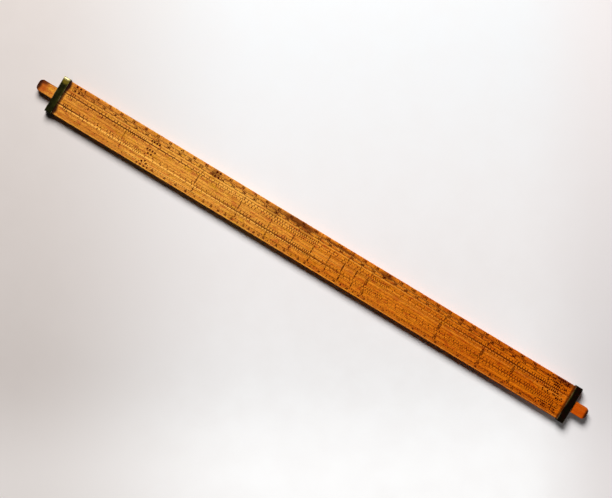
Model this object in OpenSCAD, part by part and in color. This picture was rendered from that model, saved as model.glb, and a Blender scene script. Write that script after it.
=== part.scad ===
// Navigational slide rule of boxwood: two stocks bound together by brass end bands,
// and a slide that runs between them on tongues. X runs along the rule to the right,
// Y across it towards its upper edge, and Z up. The rule lies on its bands at Z 0.

/* [Stocks] */
// Length of both stocks, which is the rule's length over its end bands
stock_len = 610; // [600:1:660]
// Width of each stock's face, from its outer edge to the channel
stock_w = 12.7; // [12.5:0.1:16]
// Thickness of the stocks
stock_t = 8; // [7:0.1:10]
// Radius of the worn long edges on the outside of the stocks
edge_r = 0.8; // [0.7:0.1:1.2]
// Chamfer of the edges that line the channel
seam_chamfer = 0.3; // [0.15:0.05:0.4]

/* [Tongues] */
// How far the tongue of each stock stands into the channel
tongue_reach = 1.6; // [1:0.1:2.4]
// Thickness of the tongues
tongue_t = 2.4; // [1.6:0.1:3]
// Chamfer of the tongues' long edges
tongue_chamfer = 0.3; // [0.1:0.05:0.5]
// Clearance round the tongues in the grooves of the slide
tongue_gap = 0.1; // [0.05:0.05:0.2]

/* [Slide] */
// Width of the channel between the stocks
channel_w = 12.7; // [12.5:0.1:16]
// How far each end of the slide stands out past its band when the slide is in the middle
slide_projection = 18; // [10:0.5:40]
// Gap between the slide and each wall of the channel
slide_side_gap = 0.1; // [0.05:0.05:0.2]
// Depth of the slide's faces below the faces of the stocks
slide_face_gap = 0.1; // [0.05:0.05:0.2]
// Radius of the slide's corners, seen from above
slide_corner_r = 4.5; // [2:0.5:5.5]
// Chamfer round the ends of the slide, above and below
slide_end_chamfer = 0.6; // [0.2:0.1:1]
// How far the slide is drawn to the left of the middle
slide_offset = 1.4; // [0:0.1:5]

/* [End bands] */
// Width of each brass band, along the rule
band_w = 7.2; // [6:0.1:9]
// Thickness of the brass
band_t = 1.2; // [1:0.1:1.6]
// Inner radius of the bends at the corners of the bands
band_bend_r = 0.6; // [0.3:0.1:0.7]

/* [Rivets] */
// Radius of the shanks
rivet_r = 0.9; // [0.6:0.05:1.1]
// Radius of the countersunk ends
rivet_end_r = 1.5; // [1.2:0.05:1.8]
// Depth of the countersinks
rivet_end_depth = 0.7; // [0.5:0.05:0.9]
// How far the filed ends lie below the faces of the band
rivet_recess = 0.05; // [0:0.05:0.1]
// Distance between the two rivets of one stock
rivet_pitch = 6.4; // [5:0.1:7]
// Clearance round the rivets in their holes
rivet_gap = 0.02; // [0.01:0.01:0.05]

/* [Scales along the rule] */
// Length of one decade on the lines of numbers
decade = 285.75; // [250:0.25:290]
// Value that stands at the middle of the rule on the lines of numbers
middle_value = 6; // [5:1:8]
// Number of equal parts in each decade on the outer line of the upper stock
equal_parts = 20; // [10:1:25]
// Distance between the whole divisions of the inner line of the upper stock
inner_step = 12.7; // [10:0.1:15]
// Bare wood between each band and the nearest end of the lines
bare_end = 6; // [3:0.5:10]

/* [Scales across the rule] */
// Width of the engraved grooves
groove_w = 0.25; // [0.2:0.05:0.35]
// Depth of the engraved grooves
groove_depth = 0.2; // [0.15:0.05:0.3]
// Distance of the guide lines beside the channel from the edges of the channel
seam_band = 2.6; // [2.3:0.1:2.9]
// Distance of the second guide line, on the lines of numbers that have two, from the first
second_guide = 1.3; // [1:0.1:1.5]
// Row for figures between the two guide lines of the upper stock that are nearest the channel
figure_row = 2.65; // [2.4:0.05:2.9]
// Height of the divisions on the inner line of the upper stock
inner_band = 0.8; // [0.6:0.1:1]
// Height of the divisions on the outer lines of both stocks
outer_band = 1.3; // [1:0.1:1.5]
// Distance of the equal parts' guide line from the outer edge of the upper stock
equal_inset = 4.05; // [3.8:0.05:4.3]
// Distance of the sines' guide line from the outer edge of the lower stock
sine_inset = 5.35; // [5:0.05:5.6]
// Distance of the line below the sines from the outer edge of the lower stock
foot_inset = 1.85; // [1.7:0.05:2.1]
// Distance of the slide's middle line below its centre
slide_line_drop = 0.7; // [0:0.1:0.8]

/* [Hidden] */
$fn = 48;
// A cut runs past the face that it opens by this much
past = 0.5;

boxwood = [0.78, 0.50, 0.20];
slide_boxwood = [0.82, 0.55, 0.25];
aged_brass = [0.30, 0.27, 0.14];
filed_brass = [0.55, 0.46, 0.22];

// Heights of the wood above the table
stock_bottom = band_t;
stock_top = stock_bottom + stock_t;
mid_height = (stock_bottom + stock_top) / 2;
slide_t = stock_t - 2 * slide_face_gap;
slide_len = stock_len + 2 * slide_projection;

// Places across the rule, counted from its middle line
channel_wall = channel_w / 2;
outer_edge = channel_wall + stock_w;
slide_edge = channel_wall - slide_side_gap;
slide_w = 2 * slide_edge;

// Places along the rule, counted from its middle
band_middle = (stock_len - band_w) / 2;
scale_end = stock_len / 2 - band_w - bare_end;

// The slide's groove takes the tongue with the clearance all round
groove_floor = channel_wall - tongue_reach - tongue_gap;
groove_t = tongue_t + 2 * tongue_gap;

// Where a value stands on the lines of numbers, and an angle on the line of sines
function number_x(value) = decade * log(value / middle_value);
function sine_x(angle) = number_x(10 * middle_value) + decade * log(sin(angle));

// Values from first to last in equal steps
function steps(first, last, step) = [for (i = [0 : round((last - first) / step)]) first + i * step];

// A division is a pair: its place along the rule, and its share of the row's height
function whole(value) = abs(value - round(value)) < 0.001;
function rank(value, long, short) = whole(value) ? long : short;
function shown(divisions) = [for (d = divisions) if (abs(d[0]) <= scale_end) d];

// A line of numbers, in tenths from 1 to 3 and in halves from there to 10
function number_line() = shown([
    for (power = [-1 : 1], value = concat(steps(1, 2.9, 0.1), steps(3, 9.5, 0.5)))
        [number_x(value * pow(10, power)), rank(value, 1, whole(value * 2) ? 0.8 : 0.55)]]);

// The whole numbers alone
function digit_line() = shown([
    for (power = [-1 : 1], value = [1 : 9]) [number_x(value * pow(10, power)), 1]]);

// Equal divisions counted from a starting place, long at each whole step and short halfway
function even_line(step, start) = [
    for (i = [ceil(2 * (-scale_end - start) / step) : floor(2 * (scale_end - start) / step)])
        [start + i * step / 2, rank(i / 2, 1, 0.6)]];

// A line of sines, in degrees
function sine_line() = shown([
    for (angle = concat(steps(0.6, 0.9, 0.1), steps(1, 9.5, 0.5), steps(10, 29, 1), steps(30, 90, 10)))
        [sine_x(angle), rank(angle / 5, 1, rank(angle, 0.8, 0.55))]]);

// A rectangle with round corners, by its size and its corner radius
module round_rect(size, r) {
    square([size[0] - 2 * r, size[1]], center = true);
    square([size[0], size[1] - 2 * r], center = true);
    for (x = [-1, 1], y = [-1, 1])
        translate([x * (size[0] / 2 - r), y * (size[1] / 2 - r)]) circle(r);
}

// A section drawn across the rule, run along it
module along_rule(length) {
    rotate([90, 0, 90]) linear_extrude(length, center = true) children();
}

// Turns what is made for the upper side over to the given side, which is 1 or -1
module to_side(side) {
    if (side > 0) children();
    else mirror([0, 1, 0]) children();
}

// A groove across the rule in a face at Z 0, between two places across it
module tick(x, from, to) {
    translate([x, (from + to) / 2, 0]) cube([groove_w, abs(to - from), 2 * groove_depth], center = true);
}

// A groove along the rule in a face at Z 0
module guide_line(y) {
    translate([0, y, 0]) cube([2 * scale_end, groove_w, 2 * groove_depth], center = true);
}

// A line of divisions that runs from an edge of the channel towards side, which is 1 or -1.
// Each is open at the edge, to be read against its neighbour across the seam. The whole
// divisions run to the guide line, or by extra beyond it to a second one.
module seam_row(divisions, edge, side, extra = 0) {
    for (d = divisions)
        tick(d[0], edge - side * past, edge + side * (d[1] * seam_band + (d[1] == 1 ? extra : 0)));
    guide_line(edge + side * seam_band);
    if (extra > 0) guide_line(edge + side * (seam_band + extra));
}

// A line of divisions that hangs from its own guide line
module hanging_row(divisions, y, height) {
    for (d = divisions) tick(d[0], y, y - d[1] * height);
    guide_line(y);
}

// What is cut into the front of the upper stock, from the channel outwards. The inner equal
// divisions start in the middle of the rule, and the outer ones where the numbers have their 1.
module upper_scales() {
    seam_row(number_line(), channel_wall, 1);
    hanging_row(even_line(inner_step, 0), channel_wall + seam_band + figure_row, inner_band);
    hanging_row(even_line(decade / equal_parts, number_x(1)), outer_edge - equal_inset, outer_band);
}

// What is cut into the front of the lower stock, from the channel outwards
module lower_scales() {
    seam_row(number_line(), -channel_wall, -1, second_guide);
    hanging_row(sine_line(), sine_inset - outer_edge, outer_band);
    guide_line(foot_inset - outer_edge);
}

// What is cut into the front of the slide, from its upper edge to its lower edge
module slide_scales() {
    seam_row(number_line(), slide_edge, -1, second_guide);
    guide_line(-slide_line_drop);
    seam_row(number_line(), -slide_edge, 1);
}

// The stock above the channel, whose tongue stands into it. The lower stock mirrors it.
module stock_blank() {
    reach = tongue_reach;
    half_t = tongue_t / 2;
    c = tongue_chamfer;
    along_rule(stock_len) translate([channel_wall, mid_height]) difference() {
        union() {
            translate([stock_w / 2, 0]) round_rect([stock_w, stock_t], edge_r);
            translate([0, -stock_t / 2]) square([stock_w / 2, stock_t]);
            polygon([[past, half_t], [c - reach, half_t], [-reach, half_t - c],
                [-reach, c - half_t], [c - reach, -half_t], [past, -half_t]]);
        }
        for (face = [-1, 1])
            translate([0, face * stock_t / 2]) rotate(45) square(seam_chamfer * sqrt(2), center = true);
    }
}

// The outline of a rivet from its axis outwards, or of its hole where gap is above 0
module rivet_outline(gap) {
    end = stock_t / 2 + band_t - rivet_recess + gap;
    polygon([[0, -end], [rivet_end_r + gap, -end], [rivet_r + gap, -end + rivet_end_depth],
        [rivet_r + gap, end - rivet_end_depth], [rivet_end_r + gap, end], [0, end]]);
}

// The places of the two rivets of one stock in one band. end is -1 on the left.
module rivet_places(end, side) {
    for (across = [-0.5, 0.5])
        translate([end * band_middle, side * (channel_wall + stock_w / 2 + across * rivet_pitch), mid_height])
            children();
}

// A stock with its rivet holes, before it is engraved
module drilled_stock(side) {
    difference() {
        to_side(side) stock_blank();
        for (end = [-1, 1])
            rivet_places(end, side) cylinder(h = stock_t + 2 * past, r = rivet_r + rivet_gap, center = true);
    }
}

module upper_stock() {
    color(boxwood) difference() {
        drilled_stock(1);
        translate([0, 0, stock_top]) upper_scales();
        translate([0, 0, stock_bottom]) seam_row(digit_line(), channel_wall, 1);
    }
}

module lower_stock() {
    color(boxwood) difference() {
        drilled_stock(-1);
        translate([0, 0, stock_top]) lower_scales();
        translate([0, 0, stock_bottom]) seam_row(digit_line(), -channel_wall, -1);
    }
}

// The slide's section: a block less a groove and two chamfered edges on each side
module slide_section() {
    difference() {
        square([slide_w, slide_t], center = true);
        for (side = [-1, 1]) {
            translate([side * (groove_floor + slide_w / 2), 0]) square([slide_w, groove_t], center = true);
            for (face = [-1, 1])
                translate([side * slide_edge, face * slide_t / 2])
                    rotate(45) square(seam_chamfer * sqrt(2), center = true);
        }
    }
}

// The slide seen from the side, with its ends chamfered above and below
module slide_side_view() {
    x = slide_len / 2;
    z = slide_t / 2;
    c = slide_end_chamfer;
    polygon([[-x, c - z], [c - x, -z], [x - c, -z], [x, c - z], [x, z - c], [x - c, z], [c - x, z], [-x, z - c]]);
}

module slide_blank() {
    intersection() {
        along_rule(slide_len) slide_section();
        linear_extrude(slide_t + 2 * past, center = true) round_rect([slide_len, slide_w], slide_corner_r);
        rotate([90, 0, 0]) linear_extrude(slide_w + 2 * past, center = true) slide_side_view();
    }
}

module slide() {
    color(slide_boxwood) translate([-slide_offset, 0, mid_height]) difference() {
        slide_blank();
        translate([0, 0, slide_t / 2]) slide_scales();
        for (side = [-1, 1])
            translate([0, 0, -slide_t / 2]) seam_row(digit_line(), side * slide_edge, -side);
    }
}

// A strap bent round both stocks, closed into a ring and riveted through each stock
module end_band(end) {
    width = 2 * outer_edge;
    color(aged_brass) difference() {
        translate([end * band_middle, 0, mid_height]) along_rule(band_w) difference() {
            round_rect([width + 2 * band_t, stock_t + 2 * band_t], band_bend_r + band_t);
            round_rect([width, stock_t], band_bend_r);
        }
        for (side = [-1, 1]) rivet_places(end, side) rotate_extrude() rivet_outline(rivet_gap);
    }
}

module rivets(end, side) {
    color(filed_brass) rivet_places(end, side) rotate_extrude() rivet_outline(0);
}

upper_stock();
lower_stock();
slide();
end_band(-1);  // left_end_band
end_band(1);  // right_end_band
rivets(-1, 1);  // left_band_upper_rivets
rivets(-1, -1);  // left_band_lower_rivets
rivets(1, 1);  // right_band_upper_rivets
rivets(1, -1);  // right_band_lower_rivets
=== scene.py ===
"""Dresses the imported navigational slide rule: grained boxwood, inked scales, tarnished brass.

X runs along the rule, Y across it towards its upper edge, and Z up. Lengths are in millimetres
here and turn to metres where an object is made.
"""

import math
import random

import bmesh
import bpy
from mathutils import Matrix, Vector


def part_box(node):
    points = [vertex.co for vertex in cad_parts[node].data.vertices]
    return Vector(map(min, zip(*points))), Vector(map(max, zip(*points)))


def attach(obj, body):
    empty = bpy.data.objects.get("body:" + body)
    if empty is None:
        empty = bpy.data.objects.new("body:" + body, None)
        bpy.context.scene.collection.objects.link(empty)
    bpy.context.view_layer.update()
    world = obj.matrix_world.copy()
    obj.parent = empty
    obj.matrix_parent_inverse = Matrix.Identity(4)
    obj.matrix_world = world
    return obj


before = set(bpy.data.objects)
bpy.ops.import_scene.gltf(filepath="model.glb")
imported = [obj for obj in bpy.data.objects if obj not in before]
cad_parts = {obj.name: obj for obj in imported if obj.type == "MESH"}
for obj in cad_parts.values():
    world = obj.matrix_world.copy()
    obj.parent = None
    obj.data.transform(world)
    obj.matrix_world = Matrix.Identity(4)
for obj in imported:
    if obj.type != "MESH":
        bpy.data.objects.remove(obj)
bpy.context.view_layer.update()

MM = 0.001
random.seed(1677)

# The photograph in pixels: its width, its middle, and the middle of the rule in it
PHOTO_WIDTH_PX = 612
PHOTO_MIDDLE_PX = (306, 249)
RULE_MIDDLE_PX = (313.7, 249.8)
# The millimetres that one pixel covers on the rule's face, and how far the rule lies turned
PIXEL = 1.0068
RULE_TURN = math.radians(31.16)
# The camera's focal length, and the width of its sensor
LENS = 90
SENSOR = 36


def box(node):
    """The low and the high corner of a node's box"""
    low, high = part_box(node)
    return low / MM, high / MM


# The sizes of the solids
STOCK_LOW, STOCK_HIGH = box("upper_stock")
SLIDE_LOW, SLIDE_HIGH = box("slide")
BAND_LOW, BAND_HIGH = box("left_end_band")
STOCK_TOP = STOCK_HIGH.z
STOCK_BOTTOM = STOCK_LOW.z
SLIDE_TOP = SLIDE_HIGH.z
SLIDE_BOTTOM = SLIDE_LOW.z
SLIDE_MIDDLE = (SLIDE_LOW.x + SLIDE_HIGH.x) / 2
SLIDE_EDGE = SLIDE_HIGH.y
OUTER_EDGE = STOCK_HIGH.y
BAND_TOP = BAND_HIGH.z
BAND_INSIDE = -BAND_HIGH.x
BAND_MIDDLE = -(BAND_LOW.x + BAND_HIGH.x) / 2
BAND_WIDTH = BAND_HIGH.x - BAND_LOW.x

# The sizes of the engraving, as the solids have them
SIDE_GAP = 0.1
BARE_END = 6
DECADE = 285.75
MIDDLE_VALUE = 6
INNER_STEP = 12.7
EQUAL_PARTS = 20
SEAM_BAND = 2.6
SECOND_GUIDE = 1.3
FIGURE_ROW = 2.65
INNER_BAND = 0.8
OUTER_BAND = 1.3
EQUAL_INSET = 4.05
SINE_INSET = 5.35
FOOT_INSET = 1.85
SLIDE_LINE = -0.7
SEAM_CHAMFER = 0.3
GROOVE_WIDTH = 0.25

# The places that follow from them
CHANNEL_WALL = SLIDE_EDGE + SIDE_GAP
SCALE_END = BAND_INSIDE - BARE_END
DECADE_START = DECADE * math.log10(1 / MIDDLE_VALUE)
OUTER_STEP = DECADE / EQUAL_PARTS
INNER_GUIDE = CHANNEL_WALL + SEAM_BAND + FIGURE_ROW
OUTER_GUIDE = OUTER_EDGE - EQUAL_INSET
SINE_GUIDE = SINE_INSET - OUTER_EDGE
FOOT_LINE = FOOT_INSET - OUTER_EDGE

# Ink: its width in a groove, and where it begins and ends, counted outwards from a face
GROOVE_INK = 0.24
GROOVE_INK_LEVELS = (-0.19, -0.06)
FACE_INK_LEVELS = (-0.08, 0.012)
# Real fine divisions are too thin to show in the render, so they are drawn as wide as they need
FINE_INK = 0.72
# Ink that has spread along both sides of a whole number's groove, and gathered in spots on it
FLANK_INK = 0.12
BLOT_RADIUS = 0.5
PIP_RADIUS = 1.1
PIP_SIDES = 14

# How long a cut division is, as a share of its row: wholes, halves and the rest
LONG = 1
HALF = 0.8
SHORT = 0.55

# Stretches of the front where punch marks stand in place of figures
LEFT_CLUSTER = (-199, -188)
END_MARKS = (266, 293)
FRONT_BARE = [LEFT_CLUSTER, END_MARKS]
UPPER_BARE = [(-289, -284), (-124, -119), END_MARKS]
# Figures keep this far from them
BARE_MARGIN = 3

# Rows of figures on the front: the middle of each across the rule, and the height of its figures
UPPER_NUMBER_ROW = (9.92, 1.4)
HALF_INCH_ROW = (12.7, 1.8)
EQUAL_PART_ROW = (16.9, 2.3)
LOWER_NUMBER_ROW = (-11.95, 2.5)
SINE_ROW = (-16.1, 1.8)
SLIDE_UPPER_ROW = (0.85, 2.3)
SLIDE_LOWER_ROW = (-2.2, 2.2)
# Rows of figures on the back: how far each lies beyond its guide line, and its height
BACK_ROW = (1.6, 2)

MATHS = "ShaderNodeMath"
VECTOR_MATHS = "ShaderNodeVectorMath"


def linear(hex_colour):
    """A colour written as sRGB hex, turned to the linear light that shaders take"""
    channels = [int(hex_colour[i:i + 2], 16) / 255 for i in (1, 3, 5)]
    return [c / 12.92 if c <= 0.04045 else ((c + 0.055) / 1.055) ** 2.4 for c in channels] + [1]


def add(tree, kind, inputs, **settings):
    """Adds a node with its settings, and links or fills its inputs"""
    node = tree.nodes.new(kind)
    for name, value in settings.items():
        setattr(node, name, value)
    for name, value in inputs.items():
        if isinstance(value, bpy.types.NodeSocket):
            tree.links.new(value, node.inputs[name])
        else:
            node.inputs[name].default_value = value
    return node


def start_material(name):
    """A new material, its empty tree, and the place on the piece in millimetres"""
    material = bpy.data.materials.new(name)
    material.use_nodes = True
    tree = material.node_tree
    tree.nodes.clear()
    spot = add(tree, "ShaderNodeTexCoord", {}).outputs["Object"]
    place = add(tree, VECTOR_MATHS, {0: spot, "Scale": 1 / MM}, operation="SCALE").outputs[0]
    return material, tree, place


def end_material(tree, inputs):
    """Closes a material with its shader"""
    shader = add(tree, "ShaderNodeBsdfPrincipled", inputs)
    add(tree, "ShaderNodeOutputMaterial", {"Surface": shader.outputs[0]})


def mottle(tree, place, size, strength=1, detail=3, edges=(0.35, 0.65)):
    """Random patches from 0 to strength, of a size in millimetres along, across and through"""
    scaled = add(tree, "ShaderNodeMapping", {"Vector": place, "Scale": size}, vector_type="TEXTURE")
    noise = add(tree, "ShaderNodeTexNoise",
                {"Vector": scaled.outputs[0], "Scale": 1, "Detail": detail, "Roughness": 0.55})
    spread = add(tree, "ShaderNodeMapRange",
                 {"Value": noise.outputs["Fac"], "From Min": edges[0], "From Max": edges[1],
                  "To Min": 0, "To Max": strength})
    return spread.outputs[0]


def patch(tree, place, middle, reach, strength=1, soft=0.6):
    """An oval patch: strength inside, fading over its outer part, soft, to 0 at its reach"""
    scaled = add(tree, "ShaderNodeMapping",
                 {"Vector": place, "Location": middle, "Scale": reach}, vector_type="TEXTURE")
    distance = add(tree, VECTOR_MATHS, {0: scaled.outputs[0]}, operation="LENGTH")
    faded = add(tree, "ShaderNodeMapRange",
                {"Value": distance.outputs["Value"], "From Min": 1, "From Max": 1 - soft,
                 "To Min": 0, "To Max": strength}, interpolation_type="SMOOTHSTEP")
    return faded.outputs[0]


def ragged(tree, place, push, grain=4):
    """The same place pushed about by a few millimetres, for uneven edges"""
    scaled = add(tree, "ShaderNodeMapping", {"Vector": place, "Scale": (grain, grain, grain)},
                 vector_type="TEXTURE")
    noise = add(tree, "ShaderNodeTexNoise", {"Vector": scaled.outputs[0], "Scale": 1, "Detail": 4})
    centred = add(tree, VECTOR_MATHS, {0: noise.outputs["Color"], 1: (0.5, 0.5, 0.5)},
                  operation="SUBTRACT")
    pushed = add(tree, VECTOR_MATHS, {0: centred.outputs[0], 1: (push, push, push), 2: place},
                 operation="MULTIPLY_ADD")
    return pushed.outputs[0]


def lay(tree, colour, layers, how="MIX"):
    """Lays tones over a colour one after another, each by its own amount"""
    for amount, tone in layers:
        # A colour mix takes its amount at input 0 and its two colours at 6 and 7
        mixed = add(tree, "ShaderNodeMix", {0: amount, 6: colour, 7: tone}, data_type="RGBA",
                    blend_type=how)
        colour = mixed.outputs[2]
    return colour


def slope(tree, place, axis, start, stop, strength=1):
    """From 0 at start to strength at stop, along one axis"""
    parts = add(tree, "ShaderNodeSeparateXYZ", {0: place})
    faded = add(tree, "ShaderNodeMapRange",
                {"Value": parts.outputs[axis], "From Min": start, "From Max": stop,
                 "To Min": 0, "To Max": strength}, interpolation_type="SMOOTHSTEP")
    return faded.outputs[0]


# A reach of FAR runs the whole way
FAR = 100000
# Growth: pale and ripe wood, its fibres, and its casts of yellow and red
PALE_BOXWOOD = "#FFB446"
RIPE_BOXWOOD = "#D17A24"
FIBRE_BROWN = "#7A3A0C"
YELLOW_CAST = "#DE9E18"
RED_CAST = "#C45C2A"
END_GRAIN = "#5E2C0C"
# Tints from left to right: a little darker at the far left, and warmer towards the middle and the right
LEFT_TINT = "#EDE1D4"
MIDDLE_TINT = "#F9D68A"
RIGHT_TINT = "#FFDC64"
# Dark tones, from the blackest to the reddest: the blackest is painted shade with some dirt in the channel,
# and darkens the band strips, the slide's tips and end-grain rings; the seam tone is dirt and painted shade
DARKEST_BROWN = "#240A02"
SEAM_DIRT_AND_SHADE = "#480C00"
STAIN = "#561F04"
RED_STAIN = "#9A4408"
# Wood that hands have rubbed pale; strips of it below each seam are also painted highlight on the seam's lit
# edge
RUBBED_AND_HIGHLIT = "#FFB850"
RUBBED_RED_AND_HIGHLIT = "#F08410"
# The slide's two ends
RED_TIP = "#A03A0A"
BRIGHT_TIP = "#CC4E06"


def grown_wood(tree, stick):
    """Close pale growth with faint long streaks. Returns its colour, its fibres and its clouds."""
    # Streaks are 1.6 mm wide and 28 mm long, fibres 0.3 mm wide and 9 mm long, flecks 1 mm wide
    # and 1.8 mm long, and casts of yellow and red are patches some 10 mm long
    streaks = mottle(tree, stick, (28, 1.6, 1.6), 0.42, 3, (0.38, 0.62))
    yellow = mottle(tree, stick, (10, 3, 3), 0.75, 2, (0.52, 0.66))
    red = mottle(tree, stick, (8, 2.8, 2.8), 0.75, 2, (0.48, 0.32))
    fibres = mottle(tree, stick, (9, 0.3, 0.3), 0.38, 2)
    flecks = mottle(tree, stick, (1.8, 1, 1), 0.7, 2, (0.5, 0.66))
    clouds = mottle(tree, stick, (40, 8, 8), 0.3)
    colour = lay(tree, linear(PALE_BOXWOOD), [
        (streaks, linear(RIPE_BOXWOOD)),
        (yellow, linear(YELLOW_CAST)),
        (red, linear(RED_CAST)),
        (fibres, linear(FIBRE_BROWN)),
        (flecks, linear(FIBRE_BROWN)),
        (clouds, linear(RIPE_BOXWOOD)),
    ])
    return colour, fibres, clouds


def handled_wood(tree, place, stick, colour):
    """Towards the right end, where thumbs push the slide, dirt has filled every small dent and
    the wood is redder"""
    dents = mottle(tree, stick, (1.4, 1, 1), 1, 2, (0.5, 0.64))
    thumbed = slope(tree, place, "X", 40, 290, 0.62)
    filled = add(tree, MATHS, {0: dents, 1: thumbed}, operation="MULTIPLY").outputs[0]
    colour = lay(tree, colour, [(filled, linear(STAIN))])
    return lay(tree, colour, [
        (slope(tree, place, "X", -120, -300), linear(LEFT_TINT)),
        (slope(tree, place, "X", -90, 30), linear(MIDDLE_TINT)),
        (slope(tree, place, "X", 20, 290), linear(RIGHT_TINT)),
    ], "MULTIPLY")


def dirty_sides(tree, place, facing, colour):
    """Painted shade, with some dirt, blackens the walls of the channel, and the outer sides are a little
    darker, partly dirt and partly painted shade
    """
    channel = patch(tree, place, (0, 0, 0), (FAR, OUTER_EDGE, FAR), 0.8, 0.4)
    sides = slope(tree, facing, "Y", 0.75, 0.95)
    walls = add(tree, MATHS, {0: channel, 1: sides}, operation="MULTIPLY").outputs[0]
    # Darker outer sides, partly dirt and partly painted shade, then painted shade with some dirt on the
    # channel walls
    return lay(tree, colour, [
        (slope(tree, facing, "Y", 0.75, 0.95, 0.4), linear(STAIN)),
        (walls, linear(DARKEST_BROWN)),
    ])


def dark_end_grain(tree, stick, facing, colour):
    """End grain drinks more oil, so it is darker, with rings 0.5 mm apart"""
    ends = slope(tree, facing, "X", 0.5, 0.9, 0.75)
    rings = mottle(tree, stick, (30, 0.5, 3), 0.5, 2)
    tone = lay(tree, linear(END_GRAIN), [(rings, linear(DARKEST_BROWN))])
    return lay(tree, colour, [(ends, tone)])


def aged_boxwood(name, offset, stains):
    """Boxwood, planed, oiled and handled: dense and even, with fine fibres and a dull satin
    polish. The offset takes each stick from its own part of the tree. A stain is a middle, a
    reach, a strength and a tone."""
    material, tree, place = start_material(name)
    stick = add(tree, VECTOR_MATHS, {0: place, 1: offset}, operation="ADD").outputs[0]
    colour, fibres, clouds = grown_wood(tree, stick)
    colour = handled_wood(tree, place, stick, colour)
    worn = ragged(tree, place, 0.9)
    colour = lay(tree, colour, [
        (patch(tree, worn, middle, reach, strength), linear(tone))
        for middle, reach, strength, tone in stains])
    normal = add(tree, "ShaderNodeNewGeometry", {}).outputs["True Normal"]
    facing = add(tree, VECTOR_MATHS, {0: normal}, operation="ABSOLUTE").outputs[0]
    colour = dirty_sides(tree, place, facing, colour)
    colour = dark_end_grain(tree, stick, facing, colour)
    # Raised fibres over shallow dents 6 mm long
    raised = add(tree, "ShaderNodeBump",
                 {"Strength": 0.35, "Distance": 0.05 * MM, "Height": fibres})
    dented = add(tree, "ShaderNodeBump",
                 {"Strength": 0.4, "Distance": 0.1 * MM, "Height": mottle(tree, stick, (6, 2, 2)),
                  "Normal": raised.outputs[0]})
    rough = add(tree, MATHS, {0: clouds, 1: 0.5, 2: 0.44}, operation="MULTIPLY_ADD").outputs[0]
    end_material(tree, {"Base Color": colour, "Roughness": rough, "IOR": 1.5,
                        "Specular IOR Level": 0.05, "Normal": dented.outputs[0]})
    return material


DEEP_INK = "#400400"
THIN_INK = "#641C00"
GATHERED_INK = "#2C0300"


def browned_ink(name):
    """Iron ink rubbed into cuts in boxwood: matt, dark red-brown with age, and paler where
    handling has thinned it, in patches 7 mm long"""
    material, tree, place = start_material(name)
    thin = mottle(tree, place, (7, 1.2, 1.2), 0.5)
    flecks = mottle(tree, place, (0.5, 0.5, 0.5), 0.5, 2)
    colour = lay(tree, linear(DEEP_INK), [(thin, linear(THIN_INK)), (flecks, linear(GATHERED_INK))])
    bump = add(tree, "ShaderNodeBump", {"Strength": 0.3, "Distance": 0.02 * MM, "Height": flecks})
    end_material(tree, {"Base Color": colour, "Roughness": 0.8, "IOR": 1.45,
                        "Specular IOR Level": 0.03, "Normal": bump.outputs[0]})
    return material


BRIGHT_BRASS = "#CFC48E"
HALF_BARE_AND_LIT_BRASS = "#7C6A1E"
FILED_BRASS = "#4E451F"
OLIVE_TARNISH = "#1F2006"
BLACK_TARNISH = "#0B0902"
RED_TARNISH = "#170301"
VERDIGRIS = "#333F16"


def bare_metal(tree, place, uneven, end, bright):
    """How bare the brass is: along the strap's arrises in a broken line 0.4 mm wide, and in
    bright patches, which are bare metal and also painted highlight"""
    arrises = [patch(tree, place, (end * BAND_MIDDLE + edge * BAND_WIDTH / 2, 0, 0),
                     (0.45, FAR, FAR), 0.22) for edge in (-1, 1)]
    line = add(tree, MATHS, {0: arrises[0], 1: arrises[1]}, operation="MAXIMUM").outputs[0]
    rubs = mottle(tree, place, (1.2, 6, 1.2), 1, 3, (0.45, 0.6))
    bare = add(tree, MATHS, {0: line, 1: rubs}, operation="MULTIPLY").outputs[0]
    for middle, reach, strength in bright:
        rubbed = patch(tree, uneven, middle, reach, strength, 0.9)
        bare = add(tree, MATHS, {0: bare, 1: rubbed}, operation="MAXIMUM").outputs[0]
    return bare


def tarnished_brass(name, end, tarnish, bright, worn):
    """Sheet brass, hammered round the stocks and never polished since: a matt tarnish, olive to
    black, with pale metal where hands and tables rub it. Bright and worn are lists of patches, of
    bare and of half bare metal, which also paint highlight: middle, reach and strength."""
    material, tree, place = start_material(name)
    uneven = ragged(tree, place, 1.2, 2)
    clouds = mottle(tree, place, (3, 4, 3))
    specks = mottle(tree, place, (0.7, 0.7, 0.7), 0.55, 3, (0.6, 0.75))
    colour = lay(tree, linear(tarnish), [
        (clouds, linear(BLACK_TARNISH)),
        (specks, linear(VERDIGRIS)),
    ])
    # Half bare patches, which also paint highlight on the left band's upper end and along the bands' inner
    # edges
    colour = lay(tree, colour, [
        (patch(tree, uneven, middle, reach, strength), linear(HALF_BARE_AND_LIT_BRASS))
        for middle, reach, strength in worn])
    # Bare metal on the arrises, and bare metal with painted highlight on the left band's upper end
    bare = bare_metal(tree, place, uneven, end, bright)
    colour = lay(tree, colour, [(bare, linear(BRIGHT_BRASS))])
    # Bare metal is smoother and reflects more than its tarnish
    metallic = add(tree, MATHS, {0: bare, 1: 0.6, 2: 0.35}, operation="MULTIPLY_ADD").outputs[0]
    rough = add(tree, MATHS, {0: bare, 1: -0.25, 2: 0.62}, operation="MULTIPLY_ADD").outputs[0]
    # Hammer marks 3 mm across, and scratches 0.08 mm wide
    blows = mottle(tree, place, (2.5, 3, 2.5), 1, 1)
    scratches = mottle(tree, place, (0.08, 3, 0.08), 1, 2)
    hammered = add(tree, "ShaderNodeBump", {"Strength": 0.5, "Distance": 0.12 * MM, "Height": blows})
    scratched = add(tree, "ShaderNodeBump", {"Strength": 0.4, "Distance": 0.02 * MM,
                                             "Height": scratches, "Normal": hammered.outputs[0]})
    end_material(tree, {"Base Color": colour, "Metallic": metallic, "Specular IOR Level": 0.03,
                        "Roughness": rough, "Normal": scratched.outputs[0]})
    return material


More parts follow.
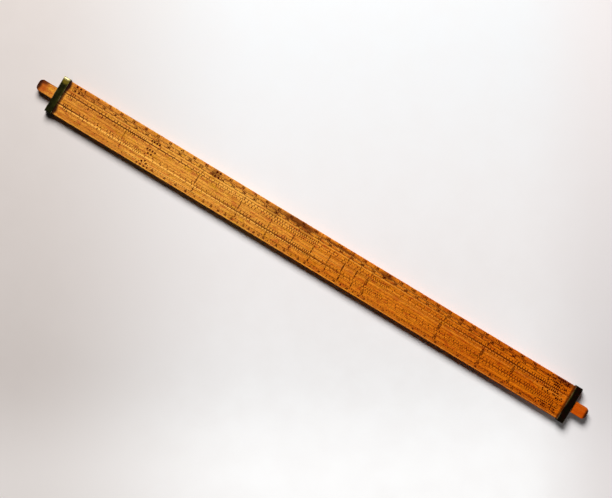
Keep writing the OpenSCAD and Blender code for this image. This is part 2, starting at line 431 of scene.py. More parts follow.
def filed_brass(name):
    """Brass wire, riveted over and filed flush: tarnished like the bands, a little browner and
    smoother, with file marks 0.12 mm apart"""
    material, tree, place = start_material(name)
    clouds = mottle(tree, place, (1.5, 1.5, 1.5))
    marks = mottle(tree, place, (3, 0.12, 3), 1, 2)
    shine = mottle(tree, place, (3, 0.12, 3), 0.35, 2)
    colour = lay(tree, linear(FILED_BRASS), [
        (clouds, linear(OLIVE_TARNISH)),
        (shine, linear(BRIGHT_BRASS)),
    ])
    bump = add(tree, "ShaderNodeBump", {"Strength": 0.5, "Distance": 0.02 * MM, "Height": marks})
    end_material(tree, {"Base Color": colour, "Metallic": 0.7, "Roughness": 0.48,
                        "Normal": bump.outputs[0]})
    return material


class Marks:
    """Thin closed solids, gathered for one mesh"""

    def __init__(self):
        self.points = []
        self.faces = []

    def slab(self, outline, levels):
        """A flat plate with the given outline, between two levels"""
        first = len(self.points)
        count = len(outline)
        self.points += [(x, y, z) for z in levels for x, y in outline]
        self.faces.append([first + i for i in range(count)])
        self.faces.append([first + count + i for i in range(count)])
        for i in range(count):
            j = (i + 1) % count
            self.faces.append([first + i, first + j, first + count + j, first + count + i])

    def bar(self, x, y, width, length, levels):
        """A straight plate round a middle point, of a width along the rule and a length across it"""
        w = width / 2
        h = length / 2
        self.slab([(x - w, y - h), (x + w, y - h), (x + w, y + h), (x - w, y + h)], levels)

    def pip(self, x, y, radius, levels):
        """A round plate"""
        turns = [math.tau * i / PIP_SIDES for i in range(PIP_SIDES)]
        self.slab([(x + radius * math.cos(t), y + radius * math.sin(t)) for t in turns], levels)

    def ribbon(self, line, width, levels, closed):
        """A plate that follows a line, with mitred bends"""
        first = len(self.points)
        count = len(line)
        for i, here in enumerate(line):
            before = line[i - 1] if closed or i else None
            after = line[(i + 1) % count] if closed or i + 1 < count else None
            side = mitre(before, here, after)
            for z in levels:
                for hand in (1, -1):
                    self.points.append((here[0] + hand * side[0] * width / 2,
                                        here[1] + hand * side[1] * width / 2, z))
        for i in range(count if closed else count - 1):
            a = first + 4 * i
            b = first + 4 * ((i + 1) % count)
            for p, q in ((0, 1), (1, 3), (3, 2), (2, 0)):
                self.faces.append([a + p, a + q, b + q, b + p])
        if not closed:
            for a in (first, first + 4 * (count - 1)):
                self.faces.append([a, a + 1, a + 3, a + 2])


def mitre(before, here, after):
    """The offset, at a bend, that keeps a ribbon's edges parallel to its line"""
    directions = []
    for start, stop in ((before, here), (here, after)):
        if start is not None and stop is not None:
            dx, dy = stop[0] - start[0], stop[1] - start[1]
            length = math.hypot(dx, dy)
            directions.append((dx / length, dy / length))
    x = sum(d[0] for d in directions)
    y = sum(d[1] for d in directions)
    length = math.hypot(x, y) or 1
    side = (-y / length, x / length)
    lean = side[0] * -directions[0][1] + side[1] * directions[0][0]
    # A sharp bend isn't drawn out to its full point
    stretch = min(1 / max(abs(lean), 0.5), 1.6)
    return side[0] * stretch, side[1] * stretch


def make_piece(name, marks, material, body):
    """One mesh from the gathered marks, which rides on a body"""
    mesh = bpy.data.meshes.new(name)
    mesh.from_pydata([[c * MM for c in point] for point in marks.points], [], marks.faces)
    outward = bmesh.new()
    outward.from_mesh(mesh)
    bmesh.ops.recalc_face_normals(outward, faces=outward.faces)
    outward.to_mesh(mesh)
    outward.free()
    mesh.materials.append(material)
    piece = bpy.data.objects.new(name, mesh)
    bpy.context.scene.collection.objects.link(piece)
    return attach(piece, body)


def arc(x, y, wide, tall, start, stop, steps=10):
    """Points on an oval, by its middle, its half sizes and its angles in degrees"""
    angles = [math.radians(start + (stop - start) * i / steps) for i in range(steps + 1)]
    return [(x + wide * math.cos(t), y + tall * math.sin(t)) for t in angles]


def ring(x, y, wide, tall):
    """A closed oval, as one stroke of a figure"""
    return arc(x, y, wide, tall, 0, 360, 16)[:-1], True


# Each figure is drawn 0.6 wide and 1 high: its strokes, and whether each is a closed ring
FIGURE_WIDTH = 0.6
FIGURES = {
    "0": [ring(0.3, 0.5, 0.25, 0.46)],
    "1": [([(0.12, 0.76), (0.32, 0.97), (0.32, 0.03)], False)],
    "2": [(arc(0.3, 0.71, 0.24, 0.25, 165, -40) + [(0.06, 0.04), (0.56, 0.04)], False)],
    "3": [(arc(0.28, 0.74, 0.21, 0.22, 150, -80, 8), False),
          (arc(0.28, 0.28, 0.26, 0.24, 85, -150, 9), False)],
    "4": [([(0.43, 0.03), (0.43, 0.97), (0.04, 0.3)], False), ([(0.04, 0.3), (0.58, 0.3)], False)],
    "5": [([(0.52, 0.96), (0.13, 0.96), (0.1, 0.54)], False),
          (arc(0.28, 0.31, 0.26, 0.27, 130, -150), False)],
    "6": [ring(0.3, 0.29, 0.25, 0.25), (arc(0.58, 0.34, 0.53, 0.62, 178, 108, 6), False)],
    "7": [([(0.05, 0.96), (0.55, 0.96), (0.2, 0.03)], False)],
    "8": [ring(0.3, 0.75, 0.2, 0.2), ring(0.3, 0.28, 0.25, 0.24)],
}
# A nine is a six turned over
FIGURES["9"] = [([(FIGURE_WIDTH - x, 1 - y) for x, y in line], closed) for line, closed in FIGURES["6"]]
# From one figure to the next, as a share of their height
FIGURE_ADVANCE = 0.78


def stamp(marks, text, x, y, height, levels, up=1):
    """Figures struck one by one with punches, so each sits a little off. Up is -1 on the back."""
    advance = FIGURE_ADVANCE * height
    left = x - advance * (len(text) - 1) / 2
    # Bold strokes, for the ink has spread
    stroke = 0.12 + 0.23 * height
    for place, figure in enumerate(text):
        lean = random.uniform(-0.05, 0.05)
        dx = random.uniform(-0.05, 0.05)
        dy = random.uniform(-0.06, 0.06)
        for line, closed in FIGURES[figure]:
            points = []
            for u, v in line:
                across = (u - FIGURE_WIDTH / 2) * height
                rise = (v - 0.5) * height
                points.append((left + place * advance + dx + across - lean * rise,
                               y + dy + up * (rise + lean * across)))
            marks.ribbon(points, stroke, levels, closed)


def number_x(value):
    """Where a value stands on the lines of numbers"""
    return DECADE * math.log10(value / MIDDLE_VALUE)


def sine_x(angle):
    """Where an angle in degrees stands on the line of sines"""
    return number_x(10 * MIDDLE_VALUE) + DECADE * math.log10(math.sin(math.radians(angle)))


def shown(divisions):
    """Those that fall between the bare ends. A division is its place and its share, or its text."""
    return [d for d in divisions if abs(d[0]) <= SCALE_END]


def cut_numbers():
    """The divisions that are cut in the wood: tenths from 1 to 3, and halves from there to 10"""
    tenths = list(range(10, 30)) + list(range(30, 100, 5))
    return shown([(number_x(v / 10 * 10 ** power), LONG if v % 10 == 0 else HALF if v % 5 == 0 else SHORT)
                  for power in (-1, 0, 1) for v in tenths])


def fine_numbers():
    """The divisions between those that are cut. Real ones stand closer than the render can show,
    so these are 2 mm or more apart. Values and steps are in hundredths."""
    steps = ((100, 120, 2), (120, 300, 5), (300, 600, 10), (600, 1000, 25))
    found = []
    for power in (-1, 0, 1):
        for start, stop, step in steps:
            for v in range(start, stop, step):
                cut = v % 10 == 0 if v < 300 else v % 50 == 0
                if not cut:
                    found.append((number_x(v / 100 * 10 ** power), 0.95 if v % 10 == 0 else 0.75))
    return shown(found)


def whole_numbers():
    """The whole numbers of each decade"""
    return shown([(number_x(v * 10 ** power), LONG) for power in (-1, 0, 1) for v in range(1, 10)])


def number_figures():
    """Text for each whole number: 1 to 9, and tens beyond"""
    return shown([(number_x(v * 10 ** power), str(v * 10 ** power))
                  for power in (0, 1) for v in range(1, 10)])


def steps_shown(step, start):
    """Counts of the steps that fall between the bare ends, counted from a starting place"""
    return range(math.ceil((-SCALE_END - start) / step), math.floor((SCALE_END - start) / step) + 1)


def even_divisions(step, start, cut):
    """Tenths of each step: the wholes and halves, which are cut in the wood, or the finer ones"""
    found = []
    for i in steps_shown(step / 10, start):
        if (i % 5 == 0) == cut:
            share = LONG if i % 10 == 0 or not cut else 0.6
            found.append((start + i * step / 10, share))
    return found


def even_figures(step, start, lead, low, rise):
    """Plain counts along an even line, from low in equal rises, each struck a lead before its
    division"""
    return [(start + i * step - lead, str(low + place * rise))
            for place, i in enumerate(steps_shown(step, start))]


def cut_sines():
    """The angles that are cut in the wood, in tenths of a degree"""
    angles = [6, 7, 8, 9] + list(range(10, 100, 5)) + list(range(100, 300, 10)) + list(range(300, 901, 100))
    return shown([(sine_x(a / 10), LONG if a % 50 == 0 else HALF if a % 10 == 0 else SHORT)
                  for a in angles])


def fine_sines():
    """The angles between those that are cut, in minutes, at the closest even steps that show"""
    steps = ((36, 120, 2), (120, 300, 5), (300, 600, 10), (600, 1200, 20), (1200, 1800, 30),
             (1800, 3600, 60))
    cut = {round(x, 3) for x, _ in cut_sines()}
    found = [(sine_x(a / 60), LONG if a % 10 == 0 else 0.7)
             for start, stop, step in steps for a in range(start, stop, step)]
    return shown([d for d in found if round(d[0], 3) not in cut])


def sine_figures():
    """Degrees, and minutes between them where the line has room"""
    degrees = list(range(1, 11)) + [12, 14, 16, 18, 20, 25, 30, 35, 40, 45, 50, 60, 70, 90]
    minutes = [(d, m) for d in (1, 2, 3) for m in (10, 20, 30, 40, 50)]
    minutes += [(d, m) for d in (4, 5) for m in (20, 40)]
    minutes += [(d, 30) for d in (6, 7, 8, 9)]
    return shown([(sine_x(d), str(d)) for d in degrees]
                 + [(sine_x(d + m / 60), str(m)) for d, m in minutes])


def above(face, levels, up=1):
    """Levels counted outwards from a face, as heights"""
    return tuple(face + up * level for level in levels)


def ruled(marks, middle, divisions, base, out, height, levels, width, start=0, extra=0):
    """Strokes that run across the rule from a base line, each by its share of the height"""
    for x, share in divisions:
        stop = share * height + (extra if share == LONG else 0)
        marks.bar(middle + x, base + out * (start + stop) / 2, width, stop - start, levels)


def guide(marks, middle, y, levels):
    """A stroke along the rule, a little shorter than its groove"""
    marks.bar(middle, y, 2 * SCALE_END - 0.02, GROOVE_INK, levels)


def flanks(marks, middle, divisions, base, out, levels, extra):
    """Ink that has spread on the face, along both sides of each cut's outer half"""
    for hand in (-1, 1):
        aside = middle + hand * (GROOVE_WIDTH + FLANK_INK) / 2
        ruled(marks, aside, divisions, base, out, SEAM_BAND, levels, FLANK_INK, SEAM_BAND / 2, extra)


def blots(marks, middle, divisions, edge, out, reach, levels):
    """Two uneven spots of gathered ink on each stroke"""
    for x, _ in divisions:
        for low, high in ((0.25, 0.5), (0.75, 1)):
            marks.pip(middle + x + random.uniform(-0.3, 0.3), edge + out * reach * random.uniform(low, high),
                      BLOT_RADIUS * random.uniform(0.7, 1.2), levels)


def seam_line(ink, fine, middle, edge, out, face, extra=0):
    """A line of numbers beside the channel: the ink in its cuts, and its finer divisions"""
    low = above(face, GROOVE_INK_LEVELS)
    ruled(ink, middle, cut_numbers(), edge, out, SEAM_BAND, low, GROOVE_INK, SEAM_CHAMFER, extra)
    guide(ink, middle, edge + out * SEAM_BAND, low)
    if extra:
        guide(ink, middle, edge + out * (SEAM_BAND + extra), low)
    high = above(face, FACE_INK_LEVELS)
    ruled(fine, middle, fine_numbers(), edge, out, SEAM_BAND, high, FINE_INK, SEAM_CHAMFER)
    flanks(fine, middle, whole_numbers(), edge, out, high, extra)
    blots(fine, middle, whole_numbers(), edge, out, SEAM_BAND + extra, high)


def hanging_line(ink, fine, cut, drawn, y, height, face):
    """A line of divisions that hangs from its guide line"""
    low = above(face, GROOVE_INK_LEVELS)
    ruled(ink, 0, cut, y, -1, height, low, GROOVE_INK)
    guide(ink, 0, y, low)
    ruled(fine, 0, drawn, y, -1, height, above(face, FACE_INK_LEVELS), FINE_INK, GROOVE_WIDTH / 2)


def row_of_figures(marks, middle, texts, row, face, bare):
    """Figures along the rule, but none near a bare stretch, given by its two ends"""
    y, height = row
    for x, text in texts:
        if not any(start - BARE_MARGIN < x < stop + BARE_MARGIN for start, stop in bare):
            stamp(marks, text, middle + x, y, height, above(face, FACE_INK_LEVELS))


def back_line(ink, figures, middle, edge, out, face):
    """The whole numbers on the back, with x to the right and the rule turned over"""
    low = above(face, GROOVE_INK_LEVELS, -1)
    ruled(ink, middle, whole_numbers(), edge, out, SEAM_BAND, low, GROOVE_INK, SEAM_CHAMFER)
    guide(ink, middle, edge + out * SEAM_BAND, low)
    beyond, height = BACK_ROW
    for x, text in number_figures():
        stamp(figures, text, middle + x, edge + out * (SEAM_BAND + beyond), height,
              above(face, FACE_INK_LEVELS, -1), -1)


def pips(marks, xs, ys, face):
    """Round punch marks on a grid"""
    for x in xs:
        for y in ys:
            radius = PIP_RADIUS * random.uniform(0.85, 1.1)
            marks.pip(x + random.uniform(-0.15, 0.15), y + random.uniform(-0.15, 0.15), radius,
                      above(face, FACE_INK_LEVELS))


def scattered_pips(marks, start, stop, ys, face):
    """Rows of uneven punch marks, with gaps, that grow closer and bolder towards the right"""
    for y in ys:
        x = start + random.uniform(0, 2)
        while x < stop:
            along = (x - start) / (stop - start)
            if random.random() < 0.5 + 0.4 * along:
                radius = PIP_RADIUS * random.uniform(0.55, 0.8 + 0.3 * along)
                marks.pip(x, y + random.uniform(-0.4, 0.4), radius, above(face, FACE_INK_LEVELS))
            x += random.uniform(1.6, 2.4)


# The kinds of marks that each wooden piece carries, each kind a mesh of its own
MARK_KINDS = ("groove_ink", "fine_divisions", "figures", "pips")


def mark_sets():
    """Empty marks, one set for each kind"""
    return [Marks() for _ in MARK_KINDS]


def finish_marks(node, sets, material, body):
    """Turns the marks of one node into pieces"""
    for kind, marks in zip(MARK_KINDS, sets):
        make_piece(f"{node}_{kind}", marks, material, body)


def mark_upper_stock(ink_material):
    """Three lines on the front of the upper stock, and one on its back"""
    ink, fine, figures, dots = mark_sets()
    seam_line(ink, fine, 0, CHANNEL_WALL, 1, STOCK_TOP)
    hanging_line(ink, fine, even_divisions(INNER_STEP, 0, True), even_divisions(INNER_STEP, 0, False),
                 INNER_GUIDE, INNER_BAND, STOCK_TOP)
    hanging_line(ink, fine, even_divisions(OUTER_STEP, DECADE_START, True),
                 even_divisions(OUTER_STEP, DECADE_START, False), OUTER_GUIDE, OUTER_BAND, STOCK_TOP)
    half_inches = even_figures(INNER_STEP, 0, 0.9, 100, 10)
    equal_parts = even_figures(OUTER_STEP, DECADE_START, -0.6, 5, 5)
    row_of_figures(figures, 0, number_figures(), UPPER_NUMBER_ROW, STOCK_TOP, FRONT_BARE)
    row_of_figures(figures, 0, half_inches, HALF_INCH_ROW, STOCK_TOP, UPPER_BARE)
    row_of_figures(figures, 0, equal_parts, EQUAL_PART_ROW, STOCK_TOP, UPPER_BARE)
    pips(dots, (-288.2, -284), (17, 12.6), STOCK_TOP)
    pips(dots, (-123.5, -119.7), (16.9, 12.4), STOCK_TOP)
    pips(dots, (-196, -193.2, -190, -187.2), (9.8,), STOCK_TOP)
    scattered_pips(dots, *END_MARKS, (17.2, 15, 12.4, 9.9), STOCK_TOP)
    back_line(ink, figures, 0, CHANNEL_WALL, 1, STOCK_BOTTOM)
    finish_marks("upper_stock", (ink, fine, figures, dots), ink_material, "stock")


def mark_lower_stock(ink_material):
    """The numbers and the sines on the front of the lower stock, and one line on its back"""
    ink, fine, figures, dots = mark_sets()
    seam_line(ink, fine, 0, -CHANNEL_WALL, -1, STOCK_TOP, SECOND_GUIDE)
    hanging_line(ink, fine, cut_sines(), fine_sines(), SINE_GUIDE, OUTER_BAND, STOCK_TOP)
    guide(ink, 0, FOOT_LINE, above(STOCK_TOP, GROOVE_INK_LEVELS))
    row_of_figures(figures, 0, number_figures(), LOWER_NUMBER_ROW, STOCK_TOP, FRONT_BARE)
    row_of_figures(figures, 0, sine_figures(), SINE_ROW, STOCK_TOP, FRONT_BARE)
    pips(dots, (-192.2,), (-11.2,), STOCK_TOP)
    pips(dots, (-195, -189.6), (-13.2,), STOCK_TOP)
    pips(dots, (-198.8, -194.7, -190.6, -186.6), (-16.6,), STOCK_TOP)
    scattered_pips(dots, *END_MARKS, (-10.6, -12.6, -15), STOCK_TOP)
    back_line(ink, figures, 0, -CHANNEL_WALL, -1, STOCK_BOTTOM)
    finish_marks("lower_stock", (ink, fine, figures, dots), ink_material, "stock")


def mark_slide(ink_material):
    """A line of numbers along each edge of the slide, front and back"""
    ink, fine, figures, dots = mark_sets()
    seam_line(ink, fine, SLIDE_MIDDLE, SLIDE_EDGE, -1, SLIDE_TOP, SECOND_GUIDE)
    seam_line(ink, fine, SLIDE_MIDDLE, -SLIDE_EDGE, 1, SLIDE_TOP)
    guide(ink, SLIDE_MIDDLE, SLIDE_LINE, above(SLIDE_TOP, GROOVE_INK_LEVELS))
    for row in (SLIDE_UPPER_ROW, SLIDE_LOWER_ROW):
        row_of_figures(figures, SLIDE_MIDDLE, number_figures(), row, SLIDE_TOP, FRONT_BARE)
    pips(dots, (-196.3, -193.3, -190, -187.3), (0.7,), SLIDE_TOP)
    pips(dots, (-193.4, -190), (-2.9,), SLIDE_TOP)
    scattered_pips(dots, *END_MARKS, (2.9, 0.4, -1.7), SLIDE_TOP)
    for out in (-1, 1):
        back_line(ink, figures, SLIDE_MIDDLE, -out * SLIDE_EDGE, out, SLIDE_BOTTOM)
    finish_marks("slide", (ink, fine, figures, dots), ink_material, "slide")


def mark_wood():
    """Inks the three wooden pieces"""
    ink = browned_ink("browned_iron_ink")
    mark_upper_stock(ink)
    mark_lower_stock(ink)
    mark_slide(ink)


def dress(node, material, bevel=0):
    """Gives a CAD node its material, and takes the sharpness off its edges"""
    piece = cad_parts[node]
    piece.data.materials.clear()
    piece.data.materials.append(material)
    if bevel:
        worn = piece.modifiers.new("worn_edges", "BEVEL")
        worn.width = bevel * MM
        worn.segments = 2
        worn.limit_method = "ANGLE"
        worn.angle_limit = math.radians(60)


# Stains: middle, reach, strength and tone, from the first laid to the last. They are long strips
# rubbed pale or stained red, some also painted highlight below the seams, then dark stains, then
# dirt and painted shade along the seams, and darker strips beside the bands.
# Darker strips beside each band, on all three wooden pieces
RIGHT_BAND_EDGE = ((BAND_INSIDE, 0, 0), (3.2, FAR, FAR), 0.8, DARKEST_BROWN)
LEFT_BAND_EDGE = ((-BAND_INSIDE, 0, 0), (3.5, FAR, FAR), 0.9, DARKEST_BROWN)
UPPER_STAINS = [
    ((0, 15.2, 0), (FAR, 3, FAR), 0.3, RED_STAIN),
    ((-80, 14.2, 0), (330, 1.3, FAR), 0.35, RUBBED_AND_HIGHLIT),
    ((-155, 15.6, 0), (45, 1.8, FAR), 0.3, RUBBED_AND_HIGHLIT),
    ((-80, 10.8, 0), (330, 1.2, FAR), 0.35, RUBBED_AND_HIGHLIT),
    ((-240, 7.3, 0), (120, 1.2, FAR), 0.15, RUBBED_AND_HIGHLIT),
    ((-80, 7.2, 0), (150, 1, FAR), 0.5, RUBBED_AND_HIGHLIT),
    ((-95, 11.3, 0), (34, 1.9, FAR), 0.45, RUBBED_AND_HIGHLIT),
    ((-95, 8.2, 0), (34, 1.4, FAR), 0.25, RUBBED_AND_HIGHLIT),
    ((-198, 8.2, 0), (14, 1.8, FAR), 0.3, RUBBED_AND_HIGHLIT),
    ((262, 11.5, 0), (40, 2, FAR), 0.5, RUBBED_RED_AND_HIGHLIT),
    ((252, 8.3, 0), (50, 1.8, FAR), 0.45, RUBBED_RED_AND_HIGHLIT),
    ((-27, 16, STOCK_TOP), (27, 4.5, 5), 0.75, STAIN),
    ((-54, 13, STOCK_TOP), (10, 8, 5), 0.4, STAIN),
    ((-16, 11.5, STOCK_TOP), (11, 7, 5), 0.35, STAIN),
    ((-124, 15, STOCK_TOP), (7, 6, 5), 0.6, STAIN),
    ((22, 15.7, STOCK_TOP), (28, 1.6, 5), 0.7, STAIN),
    ((77, 15.4, STOCK_TOP), (11, 4.5, 5), 0.6, STAIN),
    ((-270, 15, STOCK_TOP), (26, 4, 5), 0.25, RED_STAIN),
    ((-281, 8.3, STOCK_TOP), (17, 2.2, 5), 0.3, RED_STAIN),
    # Dirt and painted shade along the upper seam
    ((-230, 6.3, 0), (130, 0.6, FAR), 1, SEAM_DIRT_AND_SHADE),
    ((250, 6.3, 0), (90, 0.7, FAR), 0.9, SEAM_DIRT_AND_SHADE),
    ((286, 17.5, STOCK_TOP), (16, 3, 5), 0.7, STAIN),
    ((-BAND_INSIDE, 13, 0), (5.5, 9, FAR), 1, DARKEST_BROWN),
    LEFT_BAND_EDGE,
    RIGHT_BAND_EDGE,
]
LOWER_STAINS = [
    ((0, -15.2, 0), (FAR, 1.8, FAR), 0.35, RED_STAIN),
    ((0, -17.7, 0), (FAR, 0.8, FAR), 0.2, RUBBED_AND_HIGHLIT),
    ((-170, -13.7, 0), (80, 1.6, FAR), 0.5, RUBBED_AND_HIGHLIT),
    # This strip and those at -8.2, -7.8 and -6.4 below the lower seam are rubbed pale and also painted
    # highlight on the seam's lit edge
    ((-150, -8.1, 0), (220, 0.8, FAR), 0.8, RUBBED_AND_HIGHLIT),
    ((240, -8.2, 0), (50, 1.6, FAR), 0.4, RUBBED_RED_AND_HIGHLIT),
    ((240, -11.3, 0), (40, 2, FAR), 0.45, RUBBED_RED_AND_HIGHLIT),
    ((-240, -7.8, 0), (170, 1.3, FAR), 0.45, RUBBED_AND_HIGHLIT),
    ((278, -9.8, 0), (26, 2.5, FAR), 0.3, RUBBED_RED_AND_HIGHLIT),
    ((275, -6.4, 0), (30, 0.8, FAR), 0.6, RUBBED_RED_AND_HIGHLIT),
    # Dirt and painted shade along the lower seam
    ((-40, -7, 0), (130, 0.9, FAR), 0.75, SEAM_DIRT_AND_SHADE),
    ((-285, -6.7, 0), (32, 0.8, FAR), 0.9, SEAM_DIRT_AND_SHADE),
    ((245, -6.6, 0), (90, 0.4, FAR), 0.7, SEAM_DIRT_AND_SHADE),
    ((-BAND_INSIDE, -14, 0), (5.5, 7, FAR), 0.9, DARKEST_BROWN),
    LEFT_BAND_EDGE,
    RIGHT_BAND_EDGE,
]
SLIDE_STAINS = [
    ((-240, -5.7, 0), (180, 1.3, FAR), 0.1, RUBBED_AND_HIGHLIT),
    ((278, 0.5, 0), (26, 5, FAR), 0.35, RUBBED_RED_AND_HIGHLIT),
    # A strip below the upper seam, rubbed pale and also painted highlight on the seam's lit edge
    ((0, 5, 0), (FAR, 0.7, FAR), 0.15, RUBBED_AND_HIGHLIT),
    ((-240, 1.5, SLIDE_TOP), (26, 4.8, 5), 0.22, RED_STAIN),
    ((48, 4.2, 0), (50, 2, FAR), 0.25, STAIN),
    ((15, -0.3, 0), (45, 2, FAR), 0.17, RUBBED_AND_HIGHLIT),
    ((-5, -4.2, 0), (45, 1.8, FAR), 0.2, RUBBED_AND_HIGHLIT),
    ((0, 1.4, 0), (FAR, 1.2, FAR), 0.1, RUBBED_AND_HIGHLIT),
    # Dirt and painted shade along the upper seam
    ((-230, 6, 0), (140, 0.5, FAR), 0.95, SEAM_DIRT_AND_SHADE),
    ((220, 5.9, 0), (110, 0.6, FAR), 0.8, SEAM_DIRT_AND_SHADE),
    ((SLIDE_LOW.x + 5, 0, SLIDE_TOP), (9, 8, 6), 0.7, RED_TIP),
    ((SLIDE_LOW.x + 4, 5.6, SLIDE_TOP), (9, 4.5, 6), 0.9, STAIN),
    ((SLIDE_LOW.x, 0, SLIDE_TOP), (5.5, 12, 9), 0.95, DARKEST_BROWN),
    ((SLIDE_HIGH.x - 8, -1, SLIDE_TOP), (24, 10, 6), 0.7, BRIGHT_TIP),
    ((SLIDE_HIGH.x, 0, SLIDE_TOP), (4, 12, 9), 0.95, DARKEST_BROWN),
    LEFT_BAND_EDGE,
    RIGHT_BAND_EDGE,
]


def dress_wood():
    """Cuts the two stocks and the slide from boxwood"""
    upper = aged_boxwood("oiled_boxwood_upper_stock", (13, 40, 7), UPPER_STAINS)
    lower = aged_boxwood("oiled_boxwood_lower_stock", (410, -25, 19), LOWER_STAINS)
    slide = aged_boxwood("oiled_boxwood_slide", (-260, 90, 31), SLIDE_STAINS)
    dress("upper_stock", upper)
    dress("lower_stock", lower)
    dress("slide", slide)


# The bands' sharp edges are worn round by this much
BAND_WEAR = 0.18
# Bare and half bare metal on the bands, also painted highlight on the left band's upper end and along both
# inner edges: middle, reach and strength
LEFT_BARE_AND_HIGHLIGHT = [((-BAND_MIDDLE - 0.4, 19.8, BAND_TOP), (6, 3.4, 5), 0.85)]
LEFT_WORN_AND_HIGHLIGHT = [
    ((-BAND_MIDDLE, 16.8, BAND_TOP), (6, 5, 4), 0.6),
    ((-BAND_MIDDLE + 3.2, 2, BAND_TOP), (1.6, 18, 3), 0.1),
]
RIGHT_WORN_AND_HIGHLIGHT = [((BAND_MIDDLE - 3.2, 6, BAND_TOP), (1, 12, 2), 0.25)]


def dress_brass():
    """Gives the bands and the rivets their brass"""
    left = tarnished_brass("tarnished_brass_left_band", -1, OLIVE_TARNISH, LEFT_BARE_AND_HIGHLIGHT, LEFT_WORN_AND_HIGHLIGHT)
    right = tarnished_brass("tarnished_brass_right_band", 1, RED_TARNISH, [], RIGHT_WORN_AND_HIGHLIGHT)
    dress("left_end_band", left, BAND_WEAR)
    dress("right_end_band", right, BAND_WEAR)
    rivets = filed_brass("filed_brass_rivets")
    for end in ("left", "right"):
        for side in ("upper", "lower"):
            dress(f"{end}_band_{side}_rivets", rivets)


# The picture's right and up directions, as the rule lies in it
PICTURE_RIGHT = Vector((math.cos(RULE_TURN), math.sin(RULE_TURN), 0))
PICTURE_UP = Vector((-math.sin(RULE_TURN), math.cos(RULE_TURN), 0))
# The window and the place on the table that it faces, each from the middle of the table: how far
# to the picture's right and up, and how high
WINDOW_PLACE = (-70, 1170, 1330)
WINDOW_AIM = (600, -2200, 0)
WINDOW_RADIUS = 513
# How white the window renders white paper in the middle of the table
WINDOW_LEVEL = 1.12

WHITE = "#FFFFFF"
BLACK = "#000000"
PAPER = "#ECE8E7"
# Greyer tones, painted shade on the paper towards the picture's top, left and right
UPPER_PAPER_SHADE = "#E2E3E4"
LEFT_PAPER_SHADE = "#D2C9C4"
RIGHT_PAPER_SHADE = "#E2DCDB"
PAPER_FLECK = "#E0D8D4"
# What the eye sees beyond the paper, and what little light the room gives
PALE_ROOM = "#ECE8E6"
DARK_CEILING = "#202020"
DIM_ROOM = "#121212"


def seen_rays(tree):
    """1 where the eye looks, also through a reflection, and 0 for the light that a surface gives on"""
    paths = add(tree, "ShaderNodeLightPath", {}).outputs
    seen = add(tree, MATHS, {0: paths["Is Camera Ray"], 1: paths["Is Glossy Ray"]}, operation="MAXIMUM")
    seen = add(tree, MATHS, {0: seen.outputs[0], 1: paths["Is Transmission Ray"]}, operation="MAXIMUM")
    return seen.outputs[0]


def window_level(tree, spot):
    """How bright the window makes white paper at each spot of the table, 1 being white"""
    lamp = Vector(WINDOW_PLACE)
    facing = Vector(WINDOW_AIM) - lamp
    toward = add(tree, VECTOR_MATHS, {0: lamp, 1: spot}, operation="SUBTRACT").outputs[0]
    distance = add(tree, VECTOR_MATHS, {0: toward}, operation="LENGTH").outputs["Value"]
    ahead = add(tree, VECTOR_MATHS, {0: toward, 1: facing}, operation="DOT_PRODUCT").outputs["Value"]
    # Light falls off with the slant at both ends and with the square of the distance
    nearness = add(tree, MATHS, {0: lamp.length, 1: distance}, operation="DIVIDE").outputs[0]
    falloff = add(tree, MATHS, {0: nearness, 1: 4}, operation="POWER").outputs[0]
    level = WINDOW_LEVEL / lamp.dot(facing)
    aimed = add(tree, MATHS, {0: ahead, 1: level}, operation="MULTIPLY").outputs[0]
    return add(tree, MATHS, {0: aimed, 1: falloff}, operation="MULTIPLY").outputs[0]


def paper_tones(tree, place, turned):
    """Paper with a faint mottle 30 mm across, and painted light and shade: whiter towards the lower
    edge of the picture and greyer towards the others"""
    return lay(tree, linear(PAPER), [
        (slope(tree, turned, "Y", -50, 240), linear(UPPER_PAPER_SHADE)),
        (slope(tree, turned, "Y", 0, -240), linear(WHITE)),
        (slope(tree, turned, "X", -40, -310), linear(LEFT_PAPER_SHADE)),
        (slope(tree, turned, "Y", -110, -240, 0.15), linear(WHITE)),
        (slope(tree, turned, "X", 200, 310), linear(RIGHT_PAPER_SHADE)),
        (mottle(tree, place, (30, 30, 30), 0.1), linear(PAPER_FLECK)),
    ])


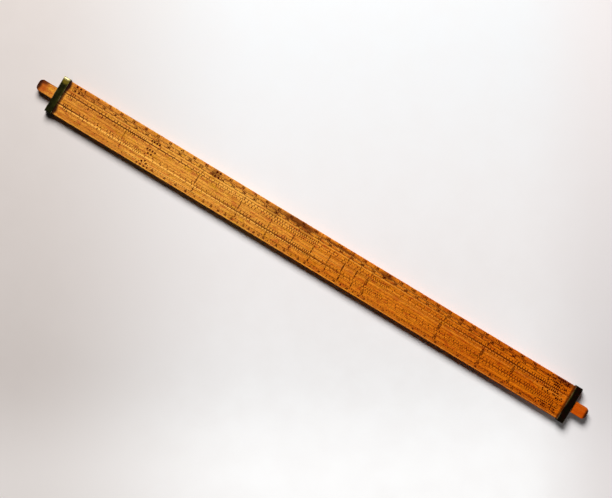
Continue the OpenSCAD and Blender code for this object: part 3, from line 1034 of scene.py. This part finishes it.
def pale_paper(name):
    """Rag paper, pressed and matt: off-white with a faint mottle, painted light and shade near the
    rule, a painted glow along the picture's lower edge, and one even pale tone beyond the picture"""
    material, tree, place = start_material(name)
    turned = add(tree, "ShaderNodeMapping", {"Vector": place, "Rotation": (0, 0, RULE_TURN)},
                 vector_type="TEXTURE").outputs[0]
    near = patch(tree, turned, (0, 0, 0), (640, 520, FAR), 1, 0.32)
    beyond = add(tree, MATHS, {0: 1, 1: near}, operation="SUBTRACT").outputs[0]
    # Beyond, paper that the window lights above white is as much darker
    level = window_level(tree, turned)
    share = add(tree, MATHS, {0: 1, 1: level}, operation="DIVIDE", use_clamp=True).outputs[0]
    evened = lay(tree, linear(BLACK), [(share, linear(PALE_ROOM))])
    colour = lay(tree, paper_tones(tree, place, turned), [(beyond, evened)])
    # Where the window is weak the eye is given the rest, for an even tone, and along the picture's lower
    # edge a painted glow
    lack = add(tree, MATHS, {0: 1, 1: level}, operation="SUBTRACT", use_clamp=True).outputs[0]
    weak = add(tree, MATHS, {0: beyond, 1: lack}, operation="MULTIPLY").outputs[0]
    lower_edge_glow = slope(tree, turned, "Y", -110, -250, 0.18)
    given = add(tree, MATHS, {0: weak, 1: lower_edge_glow}, operation="MAXIMUM").outputs[0]
    glow = add(tree, MATHS, {0: given, 1: seen_rays(tree)}, operation="MULTIPLY").outputs[0]
    end_material(tree, {"Base Color": colour, "Roughness": 0.9, "Specular IOR Level": 0.1,
                        "Emission Color": linear(PALE_ROOM), "Emission Strength": glow})
    return material


def lay_floor():
    """The table under the rule, in metres"""
    half = 6
    corners = [(-half, -half, 0), (half, -half, 0), (half, half, 0), (-half, half, 0)]
    mesh = bpy.data.meshes.new("floor")
    mesh.from_pydata(corners, [], [(0, 1, 2, 3)])
    mesh.materials.append(pale_paper("pale_paper"))
    floor = bpy.data.objects.new("floor", mesh)
    bpy.context.scene.collection.objects.link(floor)


def in_picture(right, up, height):
    """A place by picture directions, in metres"""
    return (PICTURE_RIGHT * right + PICTURE_UP * up + Vector((0, 0, height))) * MM


def hang_window():
    """A round soft window near the top of the picture: one lamp, as the shadows' spread shows"""
    place = in_picture(*WINDOW_PLACE)
    facing = in_picture(*WINDOW_AIM) - place
    light = bpy.data.lights.new("soft_window", "AREA")
    light.shape = "DISK"
    light.size = 2 * WINDOW_RADIUS * MM
    # How squarely its light falls on the middle of the table, and leaves the window for it
    slant = (place.z / place.length) * (-place.dot(facing) / place.length / facing.length)
    light.energy = WINDOW_LEVEL * math.pi ** 2 * place.length_squared / slant
    lamp = bpy.data.objects.new("soft_window", light)
    lamp.location = place
    lamp.rotation_mode = "QUATERNION"
    lamp.rotation_quaternion = facing.to_track_quat("-Z", "Y")
    bpy.context.scene.collection.objects.link(lamp)


def darken_room():
    """A dim room, which the eye sees as pale down to the horizon"""
    world = bpy.data.worlds.new("dim_room")
    bpy.context.scene.world = world
    world.use_nodes = True
    tree = world.node_tree
    tree.nodes.clear()
    direction = add(tree, "ShaderNodeTexCoord", {}).outputs["Generated"]
    overhead = slope(tree, direction, "Z", 0.2, 0.5)
    pale = lay(tree, linear(PALE_ROOM), [(overhead, linear(DARK_CEILING))])
    low = slope(tree, direction, "Z", 0.12, 0.02)
    dim = lay(tree, linear(DIM_ROOM), [(low, linear(PALE_ROOM))])
    colour = lay(tree, dim, [(seen_rays(tree), pale)])
    background = add(tree, "ShaderNodeBackground", {"Color": colour, "Strength": 1})
    add(tree, "ShaderNodeOutputWorld", {"Surface": background.outputs[0]})


def place_camera():
    """Straight above the rule, which lies across the picture as in the photograph"""
    camera = bpy.data.cameras.new("camera")
    camera.lens = LENS
    camera.sensor_width = SENSOR
    camera.clip_end = 100
    off_right = (PHOTO_MIDDLE_PX[0] - RULE_MIDDLE_PX[0]) * PIXEL
    off_up = (RULE_MIDDLE_PX[1] - PHOTO_MIDDLE_PX[1]) * PIXEL
    height = BAND_TOP + PHOTO_WIDTH_PX * PIXEL * LENS / SENSOR
    eye = bpy.data.objects.new("camera", camera)
    eye.location = in_picture(off_right, off_up, height)
    eye.rotation_euler = (0, 0, RULE_TURN)
    bpy.context.scene.collection.objects.link(eye)
    bpy.context.scene.camera = eye


bpy.context.scene.view_settings.view_transform = "Standard"
place_camera()
hang_window()
darken_room()
lay_floor()
dress_wood()
dress_brass()
mark_wood()
